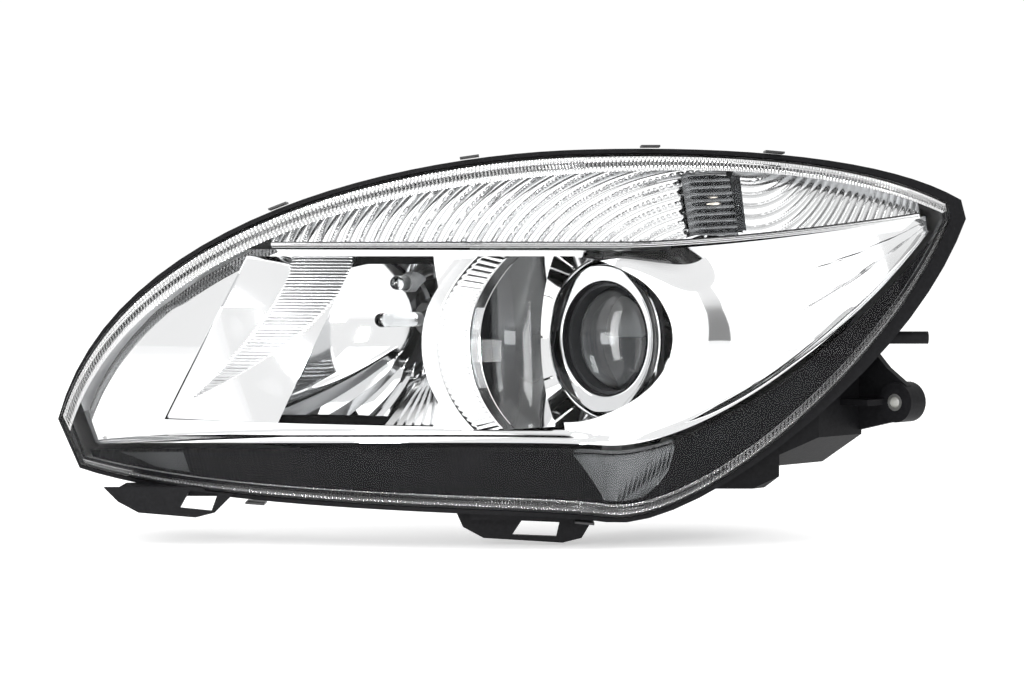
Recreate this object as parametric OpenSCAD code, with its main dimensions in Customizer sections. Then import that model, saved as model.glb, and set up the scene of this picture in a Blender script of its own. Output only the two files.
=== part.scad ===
// Projector headlight for the left front corner of a small car.
// Axes: -Y is straight ahead of the car, +X is outboard, +Z is up. Millimetres.
// Curved skins are laid out in the swept frame (u along the lamp, w into it, z up),
// which is the car frame turned by the sweep angle. Everything else sits on car axes.

/* [Lens] */
// Angle by which the lens sweeps back round the wing
sweep = 45; // [45:1:46]
// How far the ends of the lens fall back behind its middle
end_drop = 62; // [61:1:64]
// How far the upper and lower edges fall back
crown_drop = 20; // [19:1:21]
// Thickness of the clear lens
lens_t = 3; // [2.6:0.2:3.4]
// Depth of the glued leg round the lens
leg_h = 16; // [16:0.5:17]

/* [Housing] */
// Wall thickness of the rear housing
wall = 2.6; // [2.4:0.2:2.8]
// Depth of the main tub behind the front of the lens
tub_depth = 100; // [100:1:102]
// Radius of the bolt hole in the outer ear
ear_hole_r = 3.5; // [3.2:0.1:3.6]
// Radius of the bolt holes in the two upper lugs
lug_hole_r = 4.5; // [4:0.25:5]

/* [Low beam] */
// Radius of the projector lens
lens_r = 33; // [32:0.5:33.5]
// Outer radius of the bright ring round the projector
ring_r = 46; // [45:0.5:46.5]

/* [High beam] */
// Focal length of the high beam reflector
focal = 28; // [27:0.5:29]

/* [Aiming] */
// Radius of the three ball studs that carry the aiming frame
ball_r = 4.5; // [4.4:0.1:4.6]
// Clearance between a ball and its moving socket
ball_gap = 0.5; // [0.4:0.05:0.6]

/* [Hidden] */
$fn = 64;

// Reference points in the car frame, before the final shift to the ear's bolt hole
low_x = 5;
ring_y = 76;
high_x = -88;
high_y = 12;
high_z = 12;
pivot = [0, 100, 57];
level = [0, 100, -72];
aim = [-78, 100, 57];
ear = [118, 238, -42];

// Lens surface
middle_u = 10;
half_length = 280;
half_height = 110;
middle_z = -10;
top_lean = 0.10;
lip_step = 7;
columns = 40;

function drop(u, z) = end_drop * pow((u - middle_u) / half_length, 2)
    + crown_drop * pow((z - middle_z) / half_height, 2) + top_lean * max(z - 20, 0);
function cubic(p, t) = pow(1 - t, 3) * p[0] + 3 * t * pow(1 - t, 2) * p[1]
    + 3 * t * t * (1 - t) * p[2] + pow(t, 3) * p[3];
// Where along the lamp the two arcs of each edge join
joint = 0.6;
top_arcs = [[[-290, -52], [-246, 76], [-60, 112], [45, 115]],
    [[45, 115], [140, 118], [228, 112], [280, 86]]];
bottom_arcs = [[[-278, -82], [-186, -106], [6, -102], [58, -110]],
    [[58, -110], [122, -120], [246, -1], [282, 76]]];
function along(arcs, s) = s < joint ? cubic(arcs[0], s / joint)
    : cubic(arcs[1], (s - joint) / (1 - joint));
function top_at(s) = along(top_arcs, s);
function bottom_at(s) = along(bottom_arcs, s);
function height_at(s) = norm(bottom_at(s) - top_at(s));
// Share of a column at which the lens steps back under its lower lip
function lip_share(s) = 0.55 + 0.27 * pow(max(sin(180 * s), 0.001), 0.12);
function in_column(s, v) = top_at(s) + (bottom_at(s) - top_at(s)) * v;
// A point on the lens's front surface, moved back by depth
function skin(s, v, depth) = let (p = in_column(s, v)) [p[0], drop(p[0], p[1]) + depth, p[1]];

// A closed ring of skin points, inset from the edge by d millimetres plus a share f of what is left
function ring_v(s, f) = f <= 0.25 ? 1 - (1 - lip_share(s)) * f / 0.25
    : lip_share(s) - (lip_share(s) - 0.5) * (f - 0.25) / 0.25;
function kept(s, d) = max(height_at(s) / 2 - d, d > 8 ? (34 - d) * 0.4 : 1.5);
function ring(d, f, depth, step = 0) = let (e = d / 560 + f * 0.16)
    [for (side = [0, 1]) for (i = [0:columns])
        let (k = side == 0 ? i : columns - i, s = e + (1 - 2 * e) * k / columns,
            edge = 0.5 - kept(s, d) / height_at(s))
            side == 0 ? skin(s, edge + (1 - 2 * edge) * f, depth)
                : skin(s, edge + (1 - 2 * edge) * ring_v(s, f), depth + step)];

// The flange stands out further round the outboard end
flare = 9;
function ease(t) = let (q = min(1, max(0, t))) q * q * (3 - 2 * q);
function flared(r) = [for (p = r) let (u = p[0] + flare * ease((p[0] - 90) / 180))
    [u, p[1] + drop(u, p[2]) - drop(p[0], p[2]), p[2]]];

// Skins a list of rings into one closed solid, with a strip across the first and the last ring
module loft(rings) {
    n = len(rings[0]);
    half = n / 2;
    last = (len(rings) - 1) * n;
    function quad(a, b, c, d) = [[a, b, c], [a, c, d]];
    faces = concat(
        [for (i = [0:half - 2]) each quad(i, i + 1, n - 2 - i, n - 1 - i)],
        [for (k = [0:len(rings) - 2]) for (i = [0:n - 1]) let (j = (i + 1) % n)
            each quad((k + 1) * n + i, (k + 1) * n + j, k * n + j, k * n + i)],
        [for (i = [0:half - 2]) each quad(last + n - 1 - i, last + n - 2 - i, last + i + 1, last + i)]);
    polyhedron([for (r = rings) each r], faces);
}

// A closed belt round the lamp, from a list of rings that returns to the first
module belt(rings) {
    n = len(rings[0]);
    m = len(rings);
    polyhedron([for (r = rings) each r],
        [for (k = [0:m - 1]) for (i = [0:n - 1]) let (j = (i + 1) % n, q = (k + 1) % m)
            each [[q * n + i, q * n + j, k * n + j], [q * n + i, k * n + j, k * n + i]]]);
}

// A plate of thickness t whose front is the surface point(s, v), each from 0 to 1
module plate(ns, nv, point, t) {
    row = nv + 1;
    back = (ns + 1) * row;
    function at(i, j) = i * row + j;
    function quad(a, b, c, d) = [[a, b, c], [a, c, d]];
    front = [for (i = [0:ns]) for (j = [0:nv]) point(i / ns, j / nv)];
    polyhedron(concat(front, [for (p = front) p + [0, t, 0]]), concat(
        [for (i = [0:ns - 1]) for (j = [0:nv - 1])
            each quad(at(i, j), at(i + 1, j), at(i + 1, j + 1), at(i, j + 1))],
        [for (i = [0:ns - 1]) for (j = [0:nv - 1])
            each quad(back + at(i, j + 1), back + at(i + 1, j + 1), back + at(i + 1, j), back + at(i, j))],
        [for (i = [0:ns - 1]) each quad(at(i + 1, 0), at(i, 0), back + at(i, 0), back + at(i + 1, 0))],
        [for (i = [0:ns - 1])
            each quad(at(i, nv), at(i + 1, nv), back + at(i + 1, nv), back + at(i, nv))],
        [for (j = [0:nv - 1]) each quad(at(0, j), at(0, j + 1), back + at(0, j + 1), back + at(0, j))],
        [for (j = [0:nv - 1])
            each quad(at(ns, j + 1), at(ns, j), back + at(ns, j), back + at(ns, j + 1))]));
}

module swept() { rotate([0, 0, sweep]) children(); }
// Car frame helpers: a cylinder along +Y from y0 to y1, and a box between two corners
module rod_y(x, z, r, y0, y1) {
    translate([x, y0, z]) rotate([-90, 0, 0]) cylinder(r = r, h = y1 - y0);
}
module tube_y(x, z, r_in, r_out, y0, y1) {
    difference() {
        rod_y(x, z, r_out, y0, y1);
        rod_y(x, z, r_in, y0 - 1, y1 + 1);
    }
}
module box(low, high) { translate(low) cube(high - low); }
// Turns a profile of [radius, distance ahead] points round an axis along -Y
module turned_y(x, y, z) { translate([x, y, z]) rotate([90, 0, 0]) rotate_extrude() children(); }
// The part of the space that lies deeper than w0 behind the front of the lens
module deeper_than(w0) { swept() translate([-450, w0, -250]) cube([900, 600, 500]); }
// A prism along +Y over an outline in X and Z
module prism_y(points, y0, y1) {
    translate([0, y1, 0]) rotate([90, 0, 0]) linear_extrude(y1 - y0) polygon(points);
}

// ---------- housing ----------
channel_floor = leg_h + 4;
rear_box = [[-50, -97], [58, -97], [90, -76], [90, 46], [70, 70], [-50, 70]];
bulb_box = [[-50, -50], [42, -50], [56, -84], [88, -64], [88, 40], [70, 56], [-50, 56]];
rear_box_y = 172;
bulb_box_y = 235;
can_r = 42;
can_y = 102;
pocket = [[-100, 43.5], [-46, 43.5], [-46, 72], [-100, 72]];
pocket_y = 126;
low_hole_r = 42;
high_hole_r = 31;
motor_hole_r = 17;

module inset_prism(points, y0, y1) {
    middle = [for (k = [0, 1]) (max([for (p = points) p[k]]) + min([for (p = points) p[k]])) / 2];
    half = [for (k = [0, 1]) (max([for (p = points) p[k]]) - min([for (p = points) p[k]])) / 2];
    inset = [for (p = points) [for (k = [0, 1]) middle[k] + (p[k] - middle[k]) * (half[k] - wall) / half[k]]];
    prism_y(inset, y0, y1);
}

module tub_outside() {
    swept() loft([flared(ring(-4, 0, 9, 2.4)), flared(ring(-4, 0, channel_floor + wall)),
        ring(9, 0, channel_floor + wall + 14), ring(24, 0, tub_depth), ring(24, 0.3, tub_depth)]);
}
module tub_inside() {
    swept() loft([ring(6.8, 0, 4), ring(6.8, 0, channel_floor + 1), ring(11.6, 0, channel_floor + wall + 13),
        ring(26.6, 0, tub_depth - wall), ring(26.6, 0.3, tub_depth - wall)]);
}
module moat(near, far, front, back) {
    swept() belt([ring(near, 0, front), ring(near, 0, back), ring(far, 0, back), ring(far, 0, front)]);
}

module tab(left, right, low, top) {
    points = [[left, top], [right, top], [right - 16, low + 3], [right - 28, low], [left + 22, low + 3],
        [left + 9, low + 10]];
    translate([0, 54, 0]) rotate([90, 0, 0]) linear_extrude(5) polygon(points);
}

// Upper fixing lugs, screw posts of the bezel, breather holes, and the indicator's opening
lugs = [[-72, 142, 66], [200, 172, 74]];
posts = [[-234, -42], [-199, 24], [222, 44]];
function post_face(p) = tub_depth + drop(p[0], p[1]) + 4;
vent_at = [[70, 26], [-38, 42]];
lamp_u = 125;
lamp_z = 82;
lamp_hole_r = 13.5;
indicator_face = tub_depth + drop(lamp_u, lamp_z) + 10;
module along_w(r, w0, w1) {
    translate([lamp_u, w0, lamp_z]) rotate([-90, 0, 0]) cylinder(r = r, h = w1 - w0);
}

module housing() color("#1b1c1e") difference() {
    union() {
        tub_outside();
        // boxes and cans behind the projector and the high beam
        intersection() {
            union() {
                prism_y(rear_box, 0, rear_box_y);
                prism_y(bulb_box, 0, bulb_box_y);
                rod_y(high_x, 0, can_r, -40, can_y);
                prism_y(pocket, 0, pocket_y);
            }
            deeper_than(72);
        }
        tube_y(low_x, 0, low_hole_r, low_hole_r + wall, bulb_box_y - 1, bulb_box_y + 8);
        tube_y(high_x, 0, high_hole_r, high_hole_r + wall, can_y - 1, can_y + 8);
        // post for the fixed ball, stays and ear
        rod_y(pivot[0], pivot[2], 6, pivot[1] + 12, rear_box_y - 1);
        prism_y([[84, -62], [ear[0] - 4, ear[2] - 13], [ear[0] + 9, ear[2] - 9], [ear[0] + 8, ear[2] + 11],
            [ear[0] - 8, ear[2] + 22], [84, 6]], ear[1] - 6, ear[1] - 1);
        rod_y(ear[0], ear[2], 13, ear[1] - 8, ear[1] + 8);
        box([84, ear[1] - 26, -44], [ear[0] - 8, ear[1] - 2, -40]);
        box([84, ear[1] - 6, -58], [92, ear[1] - 1, 4]);
        swept() {
            for (p = lugs) {
                box([p[0] - 13, p[1] - 34, p[2]], [p[0] + 13, p[1], p[2] + 6]);
                translate(p) cylinder(r = 13, h = 6);
            }
            along_w(16, 112, indicator_face);
            for (p = posts) translate([p[0], 84, p[1]]) rotate([-90, 0, 0])
                cylinder(r = 5, h = post_face(p) - 84);
            tab(-258, -172, -113, -94);
            tab(-40, 60, -129, -99);
            box([-248, 49.5, -100.5], [-182, 78, -93.5]);
            box([-26, 36, -113], [46, 54, -99]);
            translate([190, 72, 0]) rotate([0, 90, 0]) cylinder(r = 4, h = 76);
        }
    }
    tub_inside();
    moat(-1.2, 4.2, 4, channel_floor);
    intersection() {
        union() {
            inset_prism(rear_box, 0, rear_box_y - wall);
            inset_prism(bulb_box, 0, bulb_box_y - wall);
            rod_y(high_x, 0, can_r - wall, -50, can_y - wall);
            inset_prism(pocket, 0, pocket_y - wall);
            prism_y([[-60, 46.1], [-40, 46.1], [-40, 67], [-60, 67]], 60, 120);
        }
        deeper_than(72 + wall);
    }
    rod_y(low_x, 0, low_hole_r, bulb_box_y - 10, bulb_box_y + 20);
    rod_y(high_x, 0, high_hole_r, can_y - 10, can_y + 20);
    rod_y(level[0], level[2], motor_hole_r, rear_box_y - 10, rear_box_y + 5);
    rod_y(pivot[0], pivot[2], 3, pivot[1] + 8, pivot[1] + 30);
    for (p = vent_at) rod_y(p[0], p[1], 4, bulb_box_y - 10, bulb_box_y + 5);
    rod_y(aim[0], aim[2], 5, pocket_y - 10, pocket_y + 5);
    rod_y(ear[0], ear[2], ear_hole_r + 2, ear[1] - 20, ear[1] + 20);
    swept() {
        for (p = lugs) translate(p - [0, 0, 5]) cylinder(r = lug_hole_r, h = 20);
        along_w(12.1, 80, 150);
        for (p = posts) translate([p[0], 60, p[1]]) rotate([-90, 0, 0]) cylinder(r = 1.9, h = 120);
        // clip slots in the two lower tabs
        translate([0, 60, 0]) rotate([90, 0, 0]) linear_extrude(20)
            polygon([[-210, -107], [-190, -109], [-186, -98], [-204, -96]]);
        translate([0, 60, 0]) rotate([90, 0, 0]) linear_extrude(20)
            polygon([[0, -124], [28, -125], [30, -116], [6, -115]]);
    }
}

module ear_bush() color("#c9cbcf")
    tube_y(ear[0], ear[2], ear_hole_r, ear_hole_r + 2, ear[1] - 8, ear[1] + 8);

// ---------- lens, seal, clips ----------
module lens_cover() color("#e8f0f4") swept() loft([
    ring(0, 0.42, 0), ring(0, 0.33, 0), ring(0, 0.25, 0), ring(0, 0.235, 0, lip_step),
    ring(0, 0.12, 0, lip_step), ring(0, 0, 0, lip_step), ring(0, 0, leg_h),
    ring(lens_t, 0, leg_h), ring(lens_t, 0, lens_t, lip_step), ring(lens_t, 0.12, lens_t, lip_step),
    ring(lens_t, 0.235, lens_t, lip_step), ring(lens_t, 0.25, lens_t), ring(lens_t, 0.33, lens_t),
    ring(lens_t, 0.42, lens_t)]);

module lens_seal() color("#3a3a3c") swept() belt([ring(-1, 0, leg_h), ring(-1, 0, channel_floor),
    ring(4, 0, channel_floor), ring(4, 0, leg_h)]);

// Spring clips that pull the lens into the housing channel
module lens_clip(s, side) {
    p = skin(s, side, 0);
    slope = skin(s + 0.01, side, 0) - skin(s - 0.01, side, 0);
    out = side == 0 ? 1 : -1;
    translate([p[0], p[1] + 7, p[2]]) rotate([0, -atan2(slope[2], slope[0]), 0])
        translate([-6, 0, out * 5.6 - 0.6]) cube([12, 18, 1.2]);
}
module lens_clips() color("#b9bcc0") swept()
    for (c = [[0.3, 0], [0.48, 0], [0.66, 0], [0.78, 0], [0.2, 1], [0.56, 1]]) lens_clip(c[0], c[1]);

// ---------- fixed bright trim ----------
trim_gap = 8;
function shelf_z(u) = 59 + 20 * pow(max(0, (u - 70) / 200), 1.5);
function shelf_share(s) = let (t = top_at(s), b = bottom_at(s), m = in_column(s, 0.3))
    (t[1] - shelf_z(m[0])) / (t[1] - b[1]);
function between(a, b, t) = a + (b - a) * t;
// The well round the projector: an oval tube along the optical axis, its front edge on the bezel's surface
well_a = 41;
well_b = 75;
module well_prism(grow, y0, y1) {
    translate([0, y1, 0]) rotate([90, 0, 0]) linear_extrude(y1 - y0)
        polygon([for (a = [0:10:350]) [low_x + (well_a + grow) * cos(a), (well_b + 0.4 * grow) * sin(a)]]);
}
// Everything from depth to depth + t behind the lens, round the well
module behind(depth, t) {
    swept() plate(12, 8, function (s, v) let (u = between(-120, 130, s), z = between(62, -66, v))
        [u, drop(u, z) + depth, z], t);
}
well_low = -56;
well_high = 52;
// Opening for the high beam, as points of u and z
window = [[-168, 52], [-49, 52], [-44, 20], [-44, -30], [-49, -54], [-222, -52], [-187, 14]];
// Opening for the projector: the well on its inboard side, and a close ring on its outboard side
module projector_opening() {
    intersection() {
        well_prism(21.2, -60, 150);
        box([-100, -60, well_low], [low_x, 150, well_high]);
    }
    rod_y(low_x, 0, ring_r + 5.2, 0, 150);
}

module bezel() color("#dfe2e6") {
    difference() {
        swept() plate(30, 6, function (s, v) let (q = between(0.03, 0.965, s),
            a = max(shelf_share(q) + 0.015, trim_gap / height_at(q)),
            b = max(lip_share(q) - trim_gap / height_at(q) * 0.5, a + 0.05))
            skin(q, between(a, b, v), 22), 2);
        projector_opening();
        swept() translate([0, 90, 0]) rotate([90, 0, 0]) linear_extrude(100) polygon(window);
    }
    swept() for (p = posts) difference() {
        translate([p[0], drop(p[0], p[1]) + 22.5, p[1]]) rotate([-90, 0, 0]) cylinder(r = 4, h = 61 - 22.6);
        translate([p[0], drop(p[0], p[1]) + 26, p[1]]) rotate([-90, 0, 0]) cylinder(r = 1.9, h = 60);
    }
}

module shelf_trim() color("#e9ebee") swept() plate(26, 1, function (s, v)
    let (q = between(0.285, 0.95, s), a = shelf_share(q)) skin(q, a + (v - 0.5) * 3 / height_at(q), 7.5), 15);

module band(from, to, depth) {
    swept() plate(16, 4, function (s, v) let (q = between(from, to, s), h = height_at(q))
        skin(q, between(trim_gap / h, shelf_share(q) - 2.2 / h, v), depth), 2);
}
band_split = 0.735;
module indicator_reflector_inner() color("#e3e6ea") difference() {
    band(0.285, band_split - 0.003, 18);
    swept() along_w(lamp_hole_r, 20, 90);
}
module indicator_reflector_outer() color("#e3e6ea") difference() {
    band(band_split + 0.003, 0.955, 18);
    swept() along_w(lamp_hole_r, 20, 90);
}

// Fixed panel over the inboard side of the high beam bowl, deeper towards the bowl
module side_reflector() color("#d5d8dc") swept() plate(10, 10, function (s, v) let (z = between(54, -54, v),
    u = between(-172 - 54 * pow(v, 0.95), -98 - 50 * v, s)) [u, drop(u, z) + 25.2 + 24 * s * (1 - v), z], 2);

module lower_mask() color("#151618") swept() plate(28, 2, function (s, v) let (q = between(0.02, 0.96, s),
    h = height_at(q), a = lip_share(q) + 0.2 / h) skin(q, between(a, max(1 - 7 / h, a + 1 / h), v), 16), 2);

module lower_insert(from, to) plate(6, 1, function (s, v) let (q = between(from, to, s), h = height_at(q))
    skin(q, between(lip_share(q) + 3 / h, 1 - 12 / h, v), 13.4), 2.2);
module lower_inserts() color("#8d9196") swept() {
    lower_insert(0.13, 0.2);
    lower_insert(0.6, 0.68);
}

module shroud() color("#dfe2e6") intersection() {
    difference() {
        well_prism(1.8, -40, 62);
        well_prism(0, -41, 63);
    }
    behind(30.1, 120);
    box([-80, -60, well_low], [low_x, 62, well_high]);
}

module shroud_ring() color("#eceef0") intersection() {
    difference() {
        well_prism(21, -70, 90);
        well_prism(0, -71, 91);
    }
    behind(22, 8);
    box([-80, -80, well_low], [low_x - 12, 90, well_high]);
}

// Bright ring on the projector, and the fixed funnel between it and the well
module projector_ring() color("#eef0f2") turned_y(low_x, ring_y + 12, 0)
    polygon([[36, 10], [40, 12], [44, 11.4], [ring_r, 9], [ring_r, 0], [48, -11], [48, -31], [46.4, -31],
        [46.4, -10.6], [ring_r - 2, -0.4], [ring_r - 2, 8], [43, 9.4], [39.4, 9.4], [36, 8]]);
module projector_collar() color("#d9dcdf") intersection() {
    turned_y(low_x, 84, 0)
        polygon([[49, 0], [50.5, 0], [50.5, 4], [66, 22], [66, 23.8], [64.8, 23.8], [49, 5]]);
    box([-80, 50, well_low], [70, 90, well_high]);
    behind(24.6, 120);
}
module screw_y(p, r, length) {
    rod_y(p[0], p[2], r, p[1], p[1] + length);
    difference() {
        rod_y(p[0], p[2], r * 2, p[1] + length, p[1] + length + 2.4);
        for (a = [0, 90]) translate([p[0], p[1] + length + 2.5, p[2]]) rotate([0, a, 0])
            cube([r * 2, 2.4, 0.9], center = true);
    }
}
module bezel_screws() color("#8f9399") swept() for (p = posts)
    translate([0, post_face(p) + 0.05 - 12, 0]) screw_y([p[0], 0, p[1]], 1.85, 12);

// ---------- moving aiming frame ----------
socket_r = 7;
seat_r = 9;
frame_y = 90;
flange_y = 122;
module aim_frame() color("#45484c") difference() {
    union() {
        for (p = [pivot, level, aim]) rod_y(p[0], p[2], seat_r, frame_y, p[1] + 2);
        box([aim[0], frame_y - 2, 50.6], [18, frame_y + 2, 64]);
        // the lower arm stays well behind the fixed collar, which it swings towards
        box([-7, frame_y + 4, level[2]], [7, frame_y + 8, -50.6]);
        for (x = [-18, 9.5]) box([x, frame_y - 2, 50.6], [x + 8.5, flange_y + 4, 58.6]);
        box([-7, frame_y + 4, -58.6], [7, flange_y + 4, -50.6]);
        tube_y(low_x, 0, 41, 50, flange_y + 0.1, flange_y + 4);
        box([-18, flange_y + 0.1, 44], [18, flange_y + 4, 58.6]);
        box([-7, flange_y + 0.1, -58.6], [7, flange_y + 4, -44]);
        // arm and plate that carry the high beam reflector
        box([-72, 34, 55], [-63, frame_y, 62]);
        box([-71, 34, 4], [-63, 38, 62]);
        tube_y(high_x, high_z, 15, 21, 34, 38);
    }
    for (p = [level, aim]) rod_y(p[0], p[2], socket_r, p[1] - 6, p[1] + 10);
    rod_y(pivot[0], pivot[2], socket_r + 0.8, pivot[1] - 8, pivot[1] + 10);
    // room for the post of the fixed ball
    rod_y(pivot[0], pivot[2], 9, flange_y - 10, flange_y + 10);
    for (a = [45:90:315]) rod_y(low_x + 46 * cos(a), 46 * sin(a), 2.1, flange_y - 5, flange_y + 10);
}

module ball_cup(p, gap) {
    r = ball_r + gap;
    mouth = acos(4.3 / r);
    turned_y(p[0], p[1], p[2]) polygon(concat([[0, 6], [socket_r, 6], [socket_r, -3], [4.3, -3]],
        [for (i = [0:12]) let (a = mouth - i * (mouth + 90) / 12) [i == 12 ? 0 : r * cos(a), -r * sin(a)]]));
}
module level_socket() color("#e4e2d8") ball_cup(level, ball_gap);
module aim_socket() color("#e4e2d8") ball_cup(aim, ball_gap);
module pivot_cup() color("#e4e2d8") ball_cup(pivot, 0.1);

module ball_stud(p, rod_end, r) {
    translate(p) sphere(r = ball_r);
    rod_y(p[0], p[2], r, p[1], rod_end);
}
module pivot_stud() color("#b4b7bb") {
    ball_stud(pivot, pivot[1] + 30, 2.98);
}
module level_rod() color("#b4b7bb") {
    ball_stud(level, rear_box_y - 3, 3);
    rod_y(level[0], level[2], 6, rear_box_y - 30, rear_box_y - 3);
}
module aim_rod() color("#b4b7bb") ball_stud(aim, pocket_y + 22, 3);

// Projector, from its lens back to the bulb
holder_r = 36;
module projector_holder() color("#2c2d30") difference() {
    turned_y(low_x, flange_y, 0) polygon([[lens_r + 0.6, 0], [50, 0], [50, 3], [38.6, 3], [holder_r, 12],
        [holder_r, 40], [lens_r + 0.6, 40]]);
    for (a = [45:90:315]) rod_y(low_x + 46 * cos(a), 46 * sin(a), 2.1, flange_y - 10, flange_y + 10);
}
// Glass dome: rim, then a dome that flattens towards the rim
rim_y = 94;
dome_h = 14;
module projector_lens() color([0.85, 0.92, 0.96, 0.6]) turned_y(low_x, rim_y, 0)
    polygon(concat([[0, 0], [lens_r, 0]], [for (i = [0:10]) let (t = i / 10)
        [lens_r * cos(90 * t) - (t == 1 ? lens_r * cos(90) : 0), 2.5 + dome_h * sin(90 * t)]]));
module lens_retainer() color("#a8abb0") tube_y(low_x, 0, lens_r - 3, lens_r + 0.5, rim_y + 0.1, rim_y + 2.6);
module cutoff_shield() color("#6f7276") prism_y(concat(
    [for (a = [180:10:360]) [low_x + 33 * cos(a), 33 * sin(a)]],
    [[low_x + 33, 0.5], [low_x + 3, 0.5], [low_x - 2, -1.5]]), flange_y - 3, flange_y - 1.5);
reflector_depth = 42;
neck_r = 13;
module projector_reflector() color("#cdd0d4") difference() {
    turned_y(low_x, flange_y + 0.1, 0) polygon(concat([[40.9, 0], [40.9, -4], [50, -4], [50, -6]],
        [for (i = [0:8]) let (a = i * 90 / 8)
            [neck_r + 2 + 26 * cos(a), -6 - (reflector_depth - 6) * sin(a)]],
        [[neck_r, -reflector_depth]],
        [for (i = [8:-1:0]) let (a = i * 90 / 8) [neck_r + 24.2 * cos(a), -(reflector_depth - 3) * sin(a)]]));
    for (a = [45:90:315]) rod_y(low_x + 46 * cos(a), 46 * sin(a), 2.1, flange_y - 10, flange_y + 20);
}
module projector_screws() color("#8f9399") for (a = [45:90:315])
    screw_y([low_x + 46 * cos(a), flange_y - 2.8, 46 * sin(a)], 2.05, 9);

module bulb_glass(x, y, z, r, length) turned_y(x, y, z) polygon(concat([[0, 0], [r, 0]],
    [for (i = [0:6]) let (a = i * 15) [r * cos(a) - (i == 6 ? r * cos(90) : 0), length - r + r * sin(a)]]));
module bulb_base(x, y, z) {
    tube_y(x, z, 5.6, 8.6, y - 3, y + 1);
    rod_y(x, z, 12.4, y + 1, y + 2.4);
    rod_y(x, z, 8, y + 2.4, y + 11);
    for (k = [-1, 1]) box([x + k * 4 - 0.5, y + 11, z - 3], [x + k * 4 + 0.5, y + 17, z + 3]);
}
low_seat = flange_y + 0.1 + reflector_depth;
module low_bulb_glass() color([1, 1, 1, 0.5]) bulb_glass(low_x, low_seat + 1, 0, 5.5, 34);
module low_bulb_base() color("#b8b9bb") bulb_base(low_x, low_seat + 0.1, 0);
module bulb_clip(x, y, z) {
    for (k = [-1, 1]) rod_between([x + k * 9.4, y, z - 14], [x + k * 9.4, y, z + 15], 0.6);
    rod_between([x - 9.4, y, z + 15], [x + 9.4, y, z + 15], 0.6);
}
module rod_between(a, b, r) {
    d = b - a;
    translate(a) rotate([0, acos(d[2] / norm(d)), atan2(d[1], d[0])]) cylinder(r = r, h = norm(d));
}
module low_bulb_clip() color("#9da0a4") bulb_clip(low_x, low_seat + 3.3, 0);
module plug_body(x, y, z) difference() {
    box([x - 9, y + 11.2, z - 6.5], [x + 9, y + 26, z + 6.5]);
    for (k = [-1, 1]) box([x + k * 4 - 0.7, y + 10, z - 3.3], [x + k * 4 + 0.7, y + 18, z + 3.3]);
}
module low_bulb_plug() color("#3c3d40") plug_body(low_x, low_seat + 0.1, 0);

// High beam: a paraboloid cut to the opening in the bezel
bowl_t = 2;
module bowl_profile() {
    radii = [11, 16, 22, 29, 36, 44, 53, 63, 74, 86, 98, 108];
    polygon(concat([for (r = radii) [r, r * r / (4 * focal)]],
        [for (i = [len(radii) - 1:-1:0]) let (r = radii[i]) [r, r * r / (4 * focal) - bowl_t]]));
}
// Outline of the bowl in X and Z; its upper inboard corner keeps clear of the housing as it swings
bowl_outline = [[-158, -49], [-63, -49], [-63, 47], [-122, 47], [-158, 38]];
bowl_front = 42;
module high_reflector() color("#d5d8dc") difference() {
    intersection() {
        turned_y(high_x, high_y, high_z) bowl_profile();
        prism_y(bowl_outline, -110, 60);
        deeper_than(bowl_front);
    }
    rod_y(position_at[0], position_at[2], 6, -30, 40);
}
high_seat = 38;
module high_bulb_base() color("#b8b9bb") {
    tube_y(high_x, high_z, 5.6, 10.5, high_y - 2, high_seat);
    bulb_base(high_x, high_seat + 0.1, high_z);
}
module high_bulb_glass() color([1, 1, 1, 0.5]) bulb_glass(high_x, high_y + 8, high_z, 4.6, 52);
module high_bulb_clip() color("#9da0a4") bulb_clip(high_x, high_seat + 3.3, high_z);
module high_bulb_plug() color("#3c3d40") plug_body(high_x, high_seat + 0.1, high_z);

// Position lamp, pushed into the bowl from behind
position_at = [high_x - 10, high_y - 8, 35];
module position_bulb() color([1, 1, 1, 0.5])
    bulb_glass(position_at[0], position_at[1] + 8, position_at[2], 4.6, 22);
module position_holder() color("#5a5c60") {
    tube_y(position_at[0], position_at[2], 4.8, 5.8, position_at[1] - 2, position_at[1] + 9);
    rod_y(position_at[0], position_at[2], 5.8, position_at[1] + 8.1, position_at[1] + 28);
}

// ---------- adjusters ----------
motor_low = [-26, rear_box_y + 0.1, -98];
motor_high = [34, rear_box_y + 30, -64];
module level_motor_case() color("#202124") difference() {
    union() {
        box(motor_low, motor_high);
        rod_y(level[0], level[2], motor_hole_r - 0.1, rear_box_y - 5, rear_box_y + 1);
    }
    rod_y(level[0], level[2], 7, rear_box_y - 10, rear_box_y + 8);
    rod_y(level[0], level[2], 6.2, rear_box_y + 7, motor_high[1] + 1);
    box(motor_low + [3, 12, 3], [motor_high[0] - 3, motor_high[1] + 1, motor_high[2] - 3]);
}
module level_motor_lid() color("#2b2c30") difference() {
    box([motor_low[0], motor_high[1] + 0.1, motor_low[2]], [motor_high[0], motor_high[1] + 6, motor_high[2]]);
    rod_y(level[0], level[2], 6, motor_high[1] - 5, motor_high[1] + 10);
}
module level_motor_socket() color("#2b2c30") difference() {
    box([-44, rear_box_y + 4, -88], [-26.1, rear_box_y + 24, -66]);
    box([-45, rear_box_y + 6.5, -85.5], [-30, rear_box_y + 21.5, -68.5]);
}
module gear_knob(p, r, y0, y1, teeth) difference() {
    union() {
        rod_y(p[0], p[2], r * 0.86, y0, y1);
        for (i = [0:teeth - 1]) translate([p[0], y0, p[2]]) rotate([0, i * 360 / teeth, 0])
            translate([r * 0.8, 0, -0.9]) cube([r * 0.2, y1 - y0, 1.8]);
    }
}
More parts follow.
